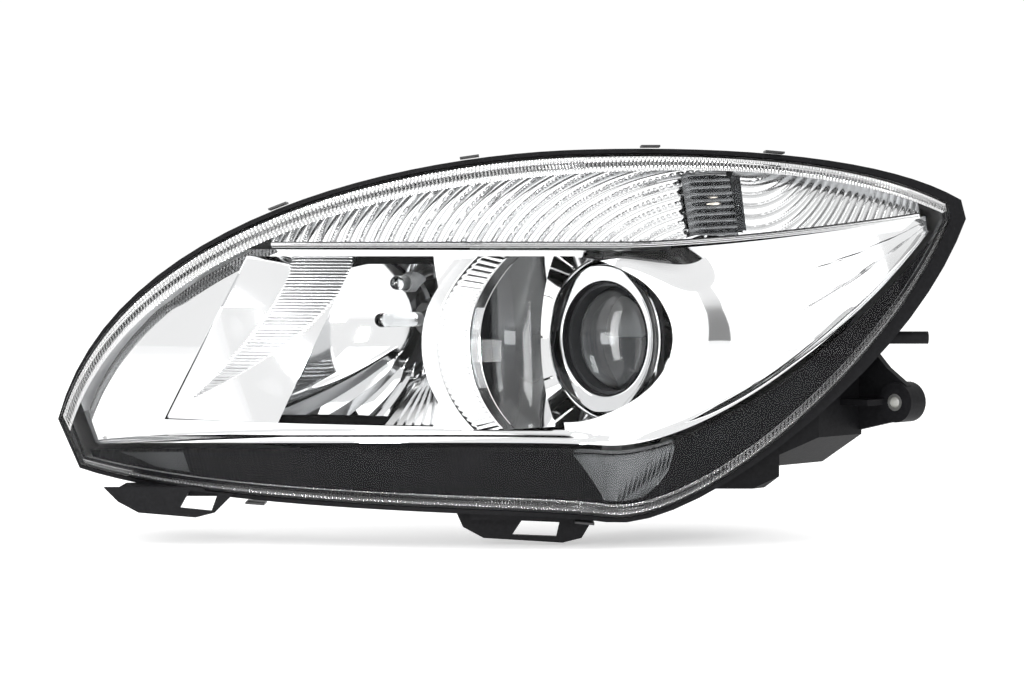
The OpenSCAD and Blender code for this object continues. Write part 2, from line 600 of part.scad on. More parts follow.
module level_knob() color("#d9d6cc") {
    rod_y(level[0], level[2], 5.6, motor_high[1] - 12, motor_high[1] + 7.9);
    gear_knob(level, 12, motor_high[1] + 7.9, motor_high[1] + 15, 16);
}
module aim_knob() color("#d9d6cc") difference() {
    gear_knob(aim, 12, pocket_y + 1, pocket_y + 10, 16);
    rod_y(aim[0], aim[2], 3.15, pocket_y - 5, pocket_y + 15);
}

// ---------- indicator ----------
module indicator_bulb() color([0.75, 0.75, 0.78, 0.8])
    swept() translate([lamp_u, 77, lamp_z]) rotate([90, 0, 0]) rotate_extrude() polygon(concat(
        [[0, 0], [7, 0], [7, 4], [11.5, 12]],
        [for (i = [0:6]) let (a = i * 15)
            [11.5 * cos(a) - (i == 6 ? 11.5 * cos(90) : 0), 20 + 11.5 * sin(a)]]));
module indicator_bulb_base() color("#c8b070") swept() difference() {
    along_w(8.6, 77.2, 92);
    along_w(7.4, 60, 84);
}
module indicator_holder() color("#4a4c50") swept() difference() {
    union() {
        along_w(11.7, 84, indicator_face + 2);
        along_w(16, indicator_face + 0.3, indicator_face + 4);
        along_w(11, indicator_face + 3, indicator_face + 12);
        translate([lamp_u - 13, indicator_face + 4, lamp_z - 2]) cube([26, 7, 4]);
    }
    along_w(8.7, 75, 92.1);
}

// ---------- rear caps, sockets, vents ----------
module cap(x, hole_r, y) {
    r = hole_r + wall;
    tube_y(x, 0, r + 0.3, r + 2.9, y + 2, y + 12);
    rod_y(x, 0, r + 2.9, y + 9.4, y + 12);
    for (a = [0, 120, 240]) translate([x, y + 12, 0]) rotate([0, a, 0])
        translate([0, 0, -1.5]) cube([r, 2, 3]);
    difference() {
        box([x - 9, y + 12, -r * 0.2 - 1.5], [x + 9, y + 20, -r * 0.2 + 1.5]);
        box([x - 6, y + 13.9, -r], [x + 6, y + 17.5, r]);
    }
}
module low_cap() color("#26272a") cap(low_x, low_hole_r, bulb_box_y);
module high_cap() color("#26272a") cap(high_x, high_hole_r, can_y);
module cap_rings() color("#101113") {
    tube_y(low_x, 0, low_hole_r + 0.2, low_hole_r + wall - 0.1, bulb_box_y + 8.05, bulb_box_y + 9.3);
    tube_y(high_x, 0, high_hole_r + 0.2, high_hole_r + wall - 0.1, can_y + 8.05, can_y + 9.3);
}
socket_low = [57.5, bulb_box_y + 0.1, -34];
socket_high = [83, bulb_box_y + 20, -6];
module main_socket() color("#2f3034") difference() {
    box(socket_low, socket_high);
    box(socket_low + [2.2, 3, 2.2], [socket_high[0] - 2.2, socket_high[1] + 1, socket_high[2] - 2.2]);
}
module main_socket_pins() color("#c9b56a") for (i = [0:3]) for (k = [0, 1])
    box([63.5 + k * 12, bulb_box_y + 3.2, -30 + i * 6], [65 + k * 12, bulb_box_y + 14, -28.5 + i * 6]);
module vents() color("#17181a") for (p = vent_at) {
    rod_y(p[0], p[1], 3.95, bulb_box_y - 3, bulb_box_y + 6);
    rod_y(p[0], p[1], 7, bulb_box_y + 3, bulb_box_y + 11);
}
module motor_screws() color("#8f9399")
    for (p = [[-21, -93], [29, -69]]) rod_y(p[0], p[1], 3, motor_high[1] + 6.1, motor_high[1] + 8.1);

// Wires inside the bulb box, from the main socket to the bulb, clear of the moving frame
harness_path = [[66, 232, -28], [66, 226, -30], [60, 219, -33], [46, 214, -35], [30, 211, -33],
    [18, 208, -26], [12, 205, -18], [9, 203, -10]];
module wire(points, r) {
    sides = 8;
    n = len(points);
    function frame(i) = let (a = points[max(i - 1, 0)], b = points[min(i + 1, n - 1)],
        t = (b - a) / norm(b - a),
        side = cross(t, [0, 0, 1]) / norm(cross(t, [0, 0, 1]))) [side, cross(side, t)];
    rings = [for (i = [0:n - 1]) let (f = frame(i)) [for (k = [0:sides - 1])
        points[i] + r * (cos(360 * k / sides) * f[0] + sin(360 * k / sides) * f[1])]];
    last = (n - 1) * sides;
    polyhedron([for (q = rings) each q], concat([[for (k = [sides - 1:-1:0]) k]],
        [for (i = [0:n - 2]) for (k = [0:sides - 1]) let (j = (k + 1) % sides)
            each [[i * sides + k, i * sides + j, (i + 1) * sides + j],
                [i * sides + k, (i + 1) * sides + j, (i + 1) * sides + k]]],
        [[for (k = [0:sides - 1]) last + k]]));
}
module inner_harness() color("#222326") {
    wire(harness_path, 1.6);
    wire([for (p = harness_path) p + [0, 0, 5]], 1.6);
}

module place() { translate(-ear) children(); }
place() housing();
place() lens_cover();
place() lens_seal();
place() lens_clips();
place() ear_bush();
place() bezel();
place() shelf_trim();
place() indicator_reflector_inner();
place() indicator_reflector_outer();
place() side_reflector();
place() lower_mask();
place() lower_inserts();
place() shroud();
place() shroud_ring();
place() projector_ring();
place() projector_collar();
place() bezel_screws();
place() aim_frame();
place() level_socket();
place() aim_socket();
place() projector_holder();
place() projector_lens();
place() lens_retainer();
place() cutoff_shield();
place() projector_reflector();
place() projector_screws();
place() low_bulb_glass();
place() low_bulb_base();
place() low_bulb_clip();
place() low_bulb_plug();
place() high_reflector();
place() high_bulb_glass();
place() high_bulb_base();
place() high_bulb_clip();
place() high_bulb_plug();
place() position_bulb();
place() position_holder();
place() pivot_stud();
place() pivot_cup();
place() level_rod();
place() level_motor_case();
place() level_motor_lid();
place() level_motor_socket();
place() level_knob();
place() aim_rod();
place() aim_knob();
place() indicator_bulb();
place() indicator_bulb_base();
place() indicator_holder();
place() low_cap();
place() high_cap();
place() cap_rings();
place() main_socket();
place() main_socket_pins();
place() vents();
place() motor_screws();
place() inner_harness();
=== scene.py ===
"""Car headlight: fine skins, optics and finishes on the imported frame.

The lamp's curved skins are laid out in the swept frame (u along the lamp, w into it, z up),
in millimetres from the lamp's reference point; to_row() turns them into the frame's metres.
"""

import math

import bmesh
import bpy
import numpy as np
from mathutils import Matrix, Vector


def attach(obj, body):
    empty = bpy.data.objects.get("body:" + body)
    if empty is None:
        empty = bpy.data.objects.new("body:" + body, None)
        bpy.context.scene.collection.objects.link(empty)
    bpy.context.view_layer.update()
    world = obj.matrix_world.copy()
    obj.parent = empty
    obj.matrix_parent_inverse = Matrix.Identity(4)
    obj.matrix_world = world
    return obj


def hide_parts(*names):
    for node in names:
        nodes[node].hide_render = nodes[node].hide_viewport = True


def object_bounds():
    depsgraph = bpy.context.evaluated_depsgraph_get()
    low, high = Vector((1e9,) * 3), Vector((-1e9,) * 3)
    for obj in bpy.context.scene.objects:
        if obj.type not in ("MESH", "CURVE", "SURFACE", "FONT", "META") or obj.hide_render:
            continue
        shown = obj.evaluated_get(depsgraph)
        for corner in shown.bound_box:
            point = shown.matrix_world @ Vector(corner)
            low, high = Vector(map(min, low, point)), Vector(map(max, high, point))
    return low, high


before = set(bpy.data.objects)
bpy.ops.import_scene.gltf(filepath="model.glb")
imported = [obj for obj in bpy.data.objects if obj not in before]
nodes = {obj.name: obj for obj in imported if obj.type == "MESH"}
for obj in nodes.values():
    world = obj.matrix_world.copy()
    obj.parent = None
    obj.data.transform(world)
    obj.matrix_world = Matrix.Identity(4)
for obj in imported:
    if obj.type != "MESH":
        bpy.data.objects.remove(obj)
cad_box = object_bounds()

MM = 0.001
SWEEP = math.radians(45)
# The reference point lies on the projector's axis; the frame's origin is the outer ear's bolt hole
EAR = np.array([118.0, 238.0, -42.0])

# Lens surface, as in the part's source
MIDDLE_U, HALF_LENGTH, MIDDLE_Z, HALF_HEIGHT = 10, 280, -10, 110
END_DROP, CROWN_DROP, TOP_LEAN = 62, 20, 0.10
ARC_JOINT = 0.6
TOP_ARCS = [[(-290, -52), (-246, 76), (-60, 112), (45, 115)], [(45, 115), (140, 118), (228, 112), (280, 86)]]
BOTTOM_ARCS = [[(-278, -82), (-186, -106), (6, -102), (58, -110)],
               [(58, -110), (122, -120), (246, -1), (282, 76)]]
LIP_STEP = 7
LENS_T = 3
LEG_DEPTH = 16
LENS_LENGTH = 2 * HALF_LENGTH
LOW_X = 5
# Depths of the trim behind the lens surface
BEZEL_DEPTH = 22
BAND_DEPTH = 18
MASK_DEPTH = 16
TRIM_GAP = 8


# ---------- curves and surfaces ----------
def drop(u, z):
    """How far the lens surface lies behind its foremost point."""
    lean = TOP_LEAN * np.maximum(z - 20, 0)
    ends = END_DROP * ((u - MIDDLE_U) / HALF_LENGTH) ** 2
    crown = CROWN_DROP * ((z - MIDDLE_Z) / HALF_HEIGHT) ** 2
    return ends + crown + lean


def cubic(p, t):
    p = np.array(p, float)
    t = np.asarray(t, float)[..., None]
    return (1 - t) ** 3 * p[0] + 3 * t * (1 - t) ** 2 * p[1] + 3 * t * t * (1 - t) * p[2] + t ** 3 * p[3]


def along(arcs, s):
    s = np.asarray(s, float)
    first = cubic(arcs[0], s / ARC_JOINT)
    second = cubic(arcs[1], (s - ARC_JOINT) / (1 - ARC_JOINT))
    return np.where((s < ARC_JOINT)[..., None], first, second)


def height(s):
    return np.linalg.norm(along(BOTTOM_ARCS, s) - along(TOP_ARCS, s), axis=-1)


def lip_share(s):
    """Share of a column at which the lens steps back under its lower lip."""
    return 0.55 + 0.27 * np.maximum(np.sin(np.pi * np.clip(s, 0, 1)), 0.001) ** 0.12


def column(s, v):
    top = along(TOP_ARCS, s)
    return top + (along(BOTTOM_ARCS, s) - top) * np.asarray(v)[..., None]


def skin(s, v, depth):
    p = column(s, v)
    u, z = p[..., 0], p[..., 1]
    return u, drop(u, z) + depth, z


def mix(a, b, t):
    return a + (b - a) * t


def ease(t):
    q = np.clip(t, 0, 1)
    return q * q * (3 - 2 * q)


def shelf_z(u):
    return 59 + 20 * np.maximum(0, (u - 70) / 200) ** 1.5


def shelf_share(s):
    top, bottom = along(TOP_ARCS, s), along(BOTTOM_ARCS, s)
    u = column(s, np.full(np.shape(s), 0.3))[..., 0]
    return (top[..., 1] - shelf_z(u)) / (top[..., 1] - bottom[..., 1])


def to_row(u, w, z):
    c = math.cos(SWEEP)
    x, y = (u - w) * c, (u + w) * c
    return (np.stack([x, y, z], -1) - EAR) * MM


def from_row(point):
    """Swept-frame u, w and z of a point of the row frame."""
    x, y, z = np.array(point) / MM + EAR
    c = math.cos(SWEEP)
    return (x + y) * c, (y - x) * c, z


def car_to_row(x, y, z):
    return (np.stack(np.broadcast_arrays(x, y, z), -1) - EAR) * MM


# ---------- meshes ----------
def mesh_object(name, points, faces, smooth_deg=35):
    mesh = bpy.data.meshes.new(name)
    mesh.from_pydata([tuple(p) for p in np.asarray(points).reshape(-1, 3)], [], [tuple(f) for f in faces])
    mesh.validate()
    mesh.update()
    obj = bpy.data.objects.new(name, mesh)
    bpy.context.scene.collection.objects.link(obj)
    smooth(obj, smooth_deg)
    return obj


def smooth(obj, degrees=35):
    mesh = obj.data
    mesh.polygons.foreach_set("use_smooth", [True] * len(mesh.polygons))
    mesh.set_sharp_from_angle(angle=math.radians(degrees))


def grid_faces(ns, nv, offset=0, flip=False):
    i, j = np.meshgrid(np.arange(ns), np.arange(nv), indexing="ij")
    row = nv + 1
    a = (i * row + j + offset).ravel()
    quads = np.stack([a, a + 1, a + row + 1, a + row], 1)
    return quads[:, ::-1] if flip else quads


def share_grid(ns, nv):
    return np.meshgrid(np.linspace(0, 1, ns + 1), np.linspace(0, 1, nv + 1), indexing="ij")


def closed_sheet(name, face, rear, smooth_deg):
    """Joins two grids of row points into one closed solid."""
    ns, nv = face.shape[0] - 1, face.shape[1] - 1
    n = (ns + 1) * (nv + 1)
    row = nv + 1
    rim = [i * row for i in range(ns, -1, -1)] + list(range(1, row))
    rim += [i * row + nv for i in range(1, ns + 1)]
    rim += [ns * row + j for j in range(nv - 1, 0, -1)]
    sides = [(a, b, b + n, a + n) for a, b in zip(rim, rim[1:] + rim[:1])]
    faces = np.concatenate([grid_faces(ns, nv), grid_faces(ns, nv, n, True), np.array(sides)])
    return mesh_object(name, np.concatenate([face.reshape(-1, 3), rear.reshape(-1, 3)]), faces, smooth_deg)


def plate(name, front, ns, nv, thickness, back=None, smooth_deg=35):
    """A closed plate. front(S, V) gives row points; the back is thickness (mm) deeper, or back(S, V)."""
    s, v = share_grid(ns, nv)
    face = front(s, v)
    rear = back(s, v) if back else face + to_row(0.0, thickness, 0.0) - to_row(0.0, 0.0, 0.0)
    return closed_sheet(name, face, rear, smooth_deg)


def skin_plate(name, s_of, v_of, depth_of, ns, nv, thickness, smooth_deg=35):
    """A plate following the lens: s_of, v_of and depth_of take the plate's own shares."""
    def front(a, b):
        s = s_of(a, b)
        return to_row(*skin(s, v_of(s, b), depth_of(a, b, s)))
    return plate(name, front, ns, nv, thickness, smooth_deg=smooth_deg)


def lathe(name, profile, x, y, z, steps=128, wobble=None):
    """Turns a closed profile of (radius, distance ahead) round an axis along -Y through (x, y, z)."""
    angles = np.linspace(0, 2 * np.pi, steps, endpoint=False)
    profile = np.array(profile, float)
    a, r = np.meshgrid(angles, profile[:, 0], indexing="ij")
    ahead = np.broadcast_to(profile[:, 1], r.shape)
    if wobble:
        r, ahead = wobble(a, r, ahead)
    points = car_to_row(x + r * np.cos(a), y - ahead, z + r * np.sin(a))
    n = len(profile)
    faces = []
    for i in range(steps):
        for k in range(n):
            i2, k2 = (i + 1) % steps, (k + 1) % n
            faces.append((i * n + k, i * n + k2, i2 * n + k2, i2 * n + k))
    obj = mesh_object(name, points, faces)
    merge(obj)
    return obj


def merge(obj, distance=1e-6):
    """Welds the points where a turned profile meets its axis."""
    b = bmesh.new()
    b.from_mesh(obj.data)
    bmesh.ops.remove_doubles(b, verts=b.verts, dist=distance)
    bmesh.ops.dissolve_degenerate(b, edges=b.edges, dist=distance)
    bmesh.ops.recalc_face_normals(b, faces=b.faces)
    b.to_mesh(obj.data)
    b.free()
    smooth(obj)


def closed_prism(low, high, name):
    """A closed prism between two matching rings of row points."""
    n = len(low)
    faces = [tuple(range(n)), tuple(range(2 * n - 1, n - 1, -1))]
    faces += [((k + 1) % n, k, k + n, (k + 1) % n + n) for k in range(n)]
    return mesh_object(name, np.concatenate([low, high]), faces)


def prism(outline, y0, y1, name="cutter"):
    """A closed prism along +Y in the car frame over an outline of (x, z)."""
    x, z = np.array(outline, float).T
    return closed_prism(car_to_row(x, y0, z), car_to_row(x, y1, z), name)


def swept_prism(outline, w0, w1, name="cutter"):
    """A closed prism along the view depth over an outline of (u, z)."""
    u, z = np.array(outline, float).T
    return closed_prism(to_row(u, np.full(len(u), w0), z), to_row(u, np.full(len(u), w1), z), name)


def circle(x, z, r, steps):
    a = np.linspace(0, 2 * np.pi, steps, endpoint=False)
    return np.stack([x + r * np.cos(a), z + r * np.sin(a)], 1)


def box_between(low, high, name="cutter"):
    corners = [(x, y, z) for x in (low[0], high[0]) for y in (low[1], high[1]) for z in (low[2], high[2])]
    faces = [(0, 1, 3, 2), (4, 6, 7, 5), (0, 4, 5, 1), (2, 3, 7, 6), (0, 2, 6, 4), (1, 5, 7, 3)]
    return mesh_object(name, (np.array(corners, float) - EAR) * MM, faces)


def outward(obj):
    b = bmesh.new()
    b.from_mesh(obj.data)
    bmesh.ops.recalc_face_normals(b, faces=b.faces)
    b.to_mesh(obj.data)
    b.free()


def carve(obj, operation, *cutters, smooth_deg=35):
    """Cuts or crops obj and bakes the result, dropping the cutters."""
    for cutter in cutters:
        outward(cutter)
        outward(obj)
        modifier = obj.modifiers.new("carve", "BOOLEAN")
        modifier.operation = operation
        modifier.object = cutter
        modifier.solver = "EXACT"
        baked = bpy.data.meshes.new_from_object(obj.evaluated_get(bpy.context.evaluated_depsgraph_get()))
        obj.modifiers.clear()
        obj.data = baked
        bpy.data.objects.remove(cutter)
    smooth(obj, smooth_deg)
    return obj


# ---------- materials ----------
def material(name, color, metallic=0.0, rough=0.4, vary=0.08, scale=60.0, bump=0.02, rough_vary=0.05,
             specular=0.5):
    """A Principled finish whose colour, roughness and relief wander a little over the surface."""
    m = bpy.data.materials.new(name)
    m.use_nodes = True
    tree = m.node_tree
    shader = tree.nodes["Principled BSDF"]
    shader.inputs["Metallic"].default_value = metallic
    shader.inputs["Specular IOR Level"].default_value = specular
    place = tree.nodes.new("ShaderNodeTexCoord")
    noise = tree.nodes.new("ShaderNodeTexNoise")
    noise.inputs["Scale"].default_value = scale
    noise.inputs["Detail"].default_value = 6.0
    tree.links.new(place.outputs["Object"], noise.inputs["Vector"])
    ramp = tree.nodes.new("ShaderNodeValToRGB")
    light = [min(1.0, c * (1 + vary)) for c in color]
    dark = [c * (1 - vary) for c in color]
    ramp.color_ramp.elements[0].position = 0.3
    ramp.color_ramp.elements[1].position = 0.7
    ramp.color_ramp.elements[0].color = (*dark, 1)
    ramp.color_ramp.elements[1].color = (*light, 1)
    tree.links.new(noise.outputs["Fac"], ramp.inputs["Fac"])
    tree.links.new(ramp.outputs["Color"], shader.inputs["Base Color"])
    spread = tree.nodes.new("ShaderNodeMapRange")
    spread.inputs["To Min"].default_value = max(0.0, rough - rough_vary)
    spread.inputs["To Max"].default_value = rough + rough_vary
    tree.links.new(noise.outputs["Fac"], spread.inputs["Value"])
    tree.links.new(spread.outputs["Result"], shader.inputs["Roughness"])
    relief = tree.nodes.new("ShaderNodeBump")
    relief.inputs["Strength"].default_value = bump
    relief.inputs["Distance"].default_value = 0.0005
    tree.links.new(noise.outputs["Fac"], relief.inputs["Height"])
    tree.links.new(relief.outputs["Normal"], shader.inputs["Normal"])
    return m


def clear_plastic(name, tint=(1, 1, 1), ior=1.45, rough=0.02, haze=0.0):
    """Thin clear plastic: see-through, with a gloss that grows at grazing angles."""
    m = bpy.data.materials.new(name)
    m.use_nodes = True
    tree = m.node_tree
    tree.nodes.clear()
    out = tree.nodes.new("ShaderNodeOutputMaterial")
    through = tree.nodes.new("ShaderNodeBsdfTransparent")
    place = tree.nodes.new("ShaderNodeTexCoord")
    noise = tree.nodes.new("ShaderNodeTexNoise")
    noise.inputs["Scale"].default_value = 14.0
    tree.links.new(place.outputs["Object"], noise.inputs["Vector"])
    ramp = tree.nodes.new("ShaderNodeValToRGB")
    ramp.color_ramp.elements[0].color = (*[c * 0.985 for c in tint], 1)
    ramp.color_ramp.elements[1].color = (*tint, 1)
    tree.links.new(noise.outputs["Fac"], ramp.inputs["Fac"])
    tree.links.new(ramp.outputs["Color"], through.inputs["Color"])
    gloss = tree.nodes.new("ShaderNodeBsdfGlossy")
    gloss.inputs["Roughness"].default_value = rough
    relief = tree.nodes.new("ShaderNodeBump")
    relief.inputs["Strength"].default_value = 0.01
    relief.inputs["Distance"].default_value = 0.0005
    tree.links.new(noise.outputs["Fac"], relief.inputs["Height"])
    tree.links.new(relief.outputs["Normal"], gloss.inputs["Normal"])
    fresnel = tree.nodes.new("ShaderNodeFresnel")
    fresnel.inputs["IOR"].default_value = ior
    blend = tree.nodes.new("ShaderNodeMixShader")
    share = fresnel.outputs["Fac"]
    if haze:
        lift = tree.nodes.new("ShaderNodeMath")
        lift.operation = "ADD"
        lift.inputs[1].default_value = haze
        tree.links.new(share, lift.inputs[0])
        share = lift.outputs["Value"]
    tree.links.new(share, blend.inputs["Fac"])
    tree.links.new(through.outputs["BSDF"], blend.inputs[1])
    tree.links.new(gloss.outputs["BSDF"], blend.inputs[2])
    tree.links.new(blend.outputs["Shader"], out.inputs["Surface"])
    return m


def glass(name, color=(0.95, 0.97, 0.98), ior=1.5, rough=0.0):
    m = material(name, color, 0.0, rough + 0.001, vary=0.01, scale=20, bump=0.002, rough_vary=0.001)
    shader = m.node_tree.nodes["Principled BSDF"]
    shader.inputs["Transmission Weight"].default_value = 1.0
    shader.inputs["IOR"].default_value = ior
    return m


bright = material("bright_metallised", (0.86, 0.865, 0.87), 1.0, 0.045,
                  vary=0.01, scale=9, bump=0.01, rough_vary=0.02)
satin = material("satin_metallised", (0.76, 0.765, 0.77), 1.0, 0.13,
                 vary=0.02, scale=30, bump=0.015, rough_vary=0.03)
lens_clear = clear_plastic("clear_lens", ior=1.16)
rim_clear = clear_plastic("ribbed_rim", tint=(0.97, 0.975, 0.98), ior=1.35, rough=0.1, haze=0.12)
rim_bright = clear_plastic("bright_rim", tint=(0.97, 0.975, 0.98), ior=1.5, rough=0.12, haze=0.55)
gloss_black = material("gloss_black", (0.006, 0.006, 0.007), 0.0, 0.3,
                       vary=0.2, scale=40, bump=0.01, specular=0.06)
grain_black = material("grained_black", (0.008, 0.008, 0.009), 0.0, 0.5,
                       vary=0.25, scale=420, bump=0.25, specular=0.09)
motor_black = material("motor_black", (0.035, 0.035, 0.038), 0.0, 0.42, vary=0.2, scale=300, bump=0.2)
rubber_black = material("cap_rubber", (0.025, 0.025, 0.026), 0.0, 0.62, vary=0.2, scale=240, bump=0.2)
plug_black = material("plug_black", (0.05, 0.05, 0.054), 0.0, 0.4, vary=0.12, scale=200, bump=0.1)
seal_grey = material("sealant", (0.05, 0.05, 0.052), 0.0, 0.7, vary=0.2, scale=90, bump=0.5)
# The cast frame's grey is raised above its own darker tone: painted light that lightens the shaded gaps round
# the projector
cast_grey_lightened_as_painted_light = material("cast_frame_painted_light", (0.62, 0.625, 0.63), 0.85, 0.36, vary=0.1, scale=260, bump=0.3)
cast_dark = material("cast_dark", (0.05, 0.052, 0.056), 0.6, 0.4, vary=0.15, scale=260, bump=0.2)
dull_metal = material("bulb_metal", (0.66, 0.66, 0.66), 1.0, 0.3, vary=0.05, scale=90, bump=0.05)
smoked = material("smoked_prisms", (0.16, 0.165, 0.17), 0.95, 0.12, vary=0.3, scale=120, bump=0.05)
steel = material("spring_steel", (0.6, 0.605, 0.61), 1.0, 0.25, vary=0.06, scale=160, bump=0.04)
zinc = material("zinc_steel", (0.62, 0.62, 0.6), 1.0, 0.34, vary=0.12, scale=70, bump=0.06)
brass = material("contact_brass", (0.72, 0.58, 0.3), 1.0, 0.3, vary=0.08, scale=90, bump=0.04)
nylon = material("natural_nylon", (0.78, 0.76, 0.68), 0.0, 0.4, vary=0.05, scale=120, bump=0.06)
grey_nylon = material("grey_nylon", (0.2, 0.205, 0.21), 0.0, 0.42, vary=0.1, scale=160, bump=0.08)
insert_grey = material("insert_grey", (0.14, 0.145, 0.15), 0.9, 0.2, vary=0.06, scale=50, bump=0.02)
fluted_grey = material("fluted_grey", (0.5, 0.505, 0.51), 1.0, 0.2, vary=0.12, scale=22, bump=0.03)
inner_silver = material("inner_silver", (0.72, 0.73, 0.74), 0.85, 0.3, vary=0.05, scale=25, bump=0.05)
black_steel = material("black_steel", (0.02, 0.02, 0.021), 0.3, 0.4, vary=0.1, scale=160, bump=0.04)
wire_black = material("wire_insulation", (0.03, 0.03, 0.032), 0.0, 0.45, vary=0.1, scale=200, bump=0.05)
optic = glass("projector_glass", ior=1.49)
bulb_clear = glass("bulb_glass", ior=1.45)
bulb_silver = material("silvered_bulb", (0.86, 0.8, 0.72), 0.9, 0.1, vary=0.04, scale=60, bump=0.01)


def paint(obj, mat):
    obj.data.materials.clear()
    obj.data.materials.append(mat)


def fit_out(obj, body, mat, slot, *replaced):
    """Finishes a new piece: its material, the body it rides on and the nodes that it stands for; slot is not
    used.
    """
    paint(obj, mat)
    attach(obj, body)
    if replaced:
        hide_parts(*replaced)
    return obj


# ---------- camera and light ----------
def look_at_reference(distance=1.5, azimuth=45.0, elevation=2.0, focal=86.4):
    target = Vector(-EAR * MM)
    a, e = math.radians(azimuth), math.radians(elevation)
    forward = Vector((-math.sin(a) * math.cos(e), math.cos(a) * math.cos(e), -math.sin(e)))
    data = bpy.data.cameras.new("camera")
    data.lens = focal
    data.sensor_width = 36.0
    data.clip_start = 0.01
    camera = bpy.data.objects.new("camera", data)
    camera.location = target - forward * distance
    camera.rotation_euler = forward.to_track_quat("-Z", "Y").to_euler()
    bpy.context.scene.collection.objects.link(camera)
    bpy.context.scene.camera = camera


def area_light(name, location, target, size, power, size_y=None):
    data = bpy.data.lights.new(name, "AREA")
    data.shape = "RECTANGLE"
    data.size = size
    data.size_y = size_y or size
    data.energy = power
    light = bpy.data.objects.new(name, data)
    light.location = location
    light.rotation_euler = (Vector(target) - Vector(location)).to_track_quat("-Z", "Y").to_euler()
    bpy.context.scene.collection.objects.link(light)


# Grey flags round the white studio: direction, cosines where one starts and is full, and its grey
FLAGS = [((0.94, 0.34, 0), 0.84, 0.98, 0.3),
         ((-0.707, -0.707, 0), 0.80, 0.97, 0.35),
         ((0, 0, 1), 0.72, 0.95, 0.45)]


def world_flag(tree, place, direction, near, far, grey):
    """A factor that falls from white to grey towards one direction of the world."""
    toward = tree.nodes.new("ShaderNodeVectorMath")
    toward.operation = "DOT_PRODUCT"
    toward.inputs[1].default_value = direction
    tree.links.new(place.outputs["Generated"], toward.inputs[0])
    flag = tree.nodes.new("ShaderNodeMapRange")
    flag.interpolation_type = "SMOOTHSTEP"
    flag.inputs["From Min"].default_value = near
    flag.inputs["From Max"].default_value = far
    flag.inputs["To Min"].default_value = 1.0
    flag.inputs["To Max"].default_value = grey
    tree.links.new(toward.outputs["Value"], flag.inputs["Value"])
    return flag.outputs["Result"]


def studio():
    """White all round; the flags at both ends of the lamp and overhead draw its flutes."""
    scene = bpy.context.scene
    scene.view_settings.view_transform = "Standard"
    world = bpy.data.worlds.new("studio")
    scene.world = world
    world.use_nodes = True
    tree = world.node_tree
    background = tree.nodes["Background"]
    place = tree.nodes.new("ShaderNodeTexCoord")
    light, *others = [world_flag(tree, place, *flag) for flag in FLAGS]
    for other in others:
        both = tree.nodes.new("ShaderNodeMath")
        both.operation = "MULTIPLY"
        tree.links.new(light, both.inputs[0])
        tree.links.new(other, both.inputs[1])
        light = both.outputs["Value"]
    tree.links.new(light, background.inputs["Color"])
    background.inputs["Strength"].default_value = 1.02
    centre = Vector(-EAR * MM)
    area_light("key", centre + Vector((0.2, -1.4, 1.6)), centre, 1.6, 10)
    area_light("side", centre + Vector((1.6, -0.2, 0.5)), centre, 1.2, 5)
    area_light("inboard", centre + Vector((-1.6, -1.2, 0.6)), centre, 1.2, 5)
    area_light("top", centre + Vector((0.0, 0.2, 1.8)), centre, 2.0, 12)
    # Two small windows that glint in the projector's dome
    area_light("glint_high", centre + Vector((0.45, -1.2, 0.35)), centre, 0.16, 5, 0.3)
    area_light("glint_low", centre + Vector((0.75, -1.0, -0.02)), centre, 0.2, 3, 0.14)


def floor():
    """White paper that glows enough to lose its far edge, so that only the lamp's soft shadow shows."""
    low = cad_box[0][2] - 0.002
    size = 12.0
    corners = [(-size, -size, low), (size, -size, low), (size, size, low), (-size, size, low)]
    obj = mesh_object("floor", corners, [(0, 1, 2, 3)])
    paper = material("floor", (0.9, 0.9, 0.9), 0.0, 0.7, vary=0.004, scale=3, bump=0.0, rough_vary=0.0,
                     specular=0.0)
    shader = paper.node_tree.nodes["Principled BSDF"]
    shader.inputs["Emission Color"].default_value = (1, 1, 1, 1)
    shader.inputs["Emission Strength"].default_value = 0.4
    paint(obj, paper)


look_at_reference()
studio()
floor()


# ---------- clear lens ----------
def lens_cover():
    """The whole clear shell: domed face, step under the lip, set-back lower band and the glued leg."""
    ns = 220
    rows = [("edge", LEG_DEPTH)] + [("face", v) for v in np.linspace(0, 1, 60)]
    rows += [("lip", v) for v in np.linspace(0, 1, 5)] + [("low", v) for v in np.linspace(0, 1, 12)]
    rows += [("end", LEG_DEPTH)]

    def shell(inset, depth):
        e = inset / LENS_LENGTH
        s = mix(e, 1 - e, np.linspace(0, 1, ns + 1))
        edge = np.minimum(inset / height(s), 0.4)
        lip = mix(edge, 1 - edge, lip_share(s))
        out = []
        for kind, value in rows:
            if kind == "edge":
                out.append(to_row(*skin(s, edge, value)))
            elif kind == "face":
                # The dome rounds over into the rim
                roll = 1.5 * (1 - ease(value / 0.03))
                out.append(to_row(*skin(s, mix(edge, lip, value), depth + roll)))
            elif kind == "lip":
                out.append(to_row(*skin(s, mix(lip, lip + 0.012, value), depth + LIP_STEP * ease(value))))
            elif kind == "low":
                roll = 1.5 * ease((value - 0.85) / 0.15)
                out.append(to_row(*skin(s, mix(lip + 0.012, 1 - edge, value), depth + LIP_STEP + roll)))
            else:
                out.append(to_row(*skin(s, 1 - edge, value)))
        return np.stack(out, 1)

    obj = closed_sheet("lens_shell", shell(0, 0), shell(LENS_T, LENS_T), 50)
    fit_out(obj, "lamp_body", lens_clear, "clear_lens", "lens_cover")


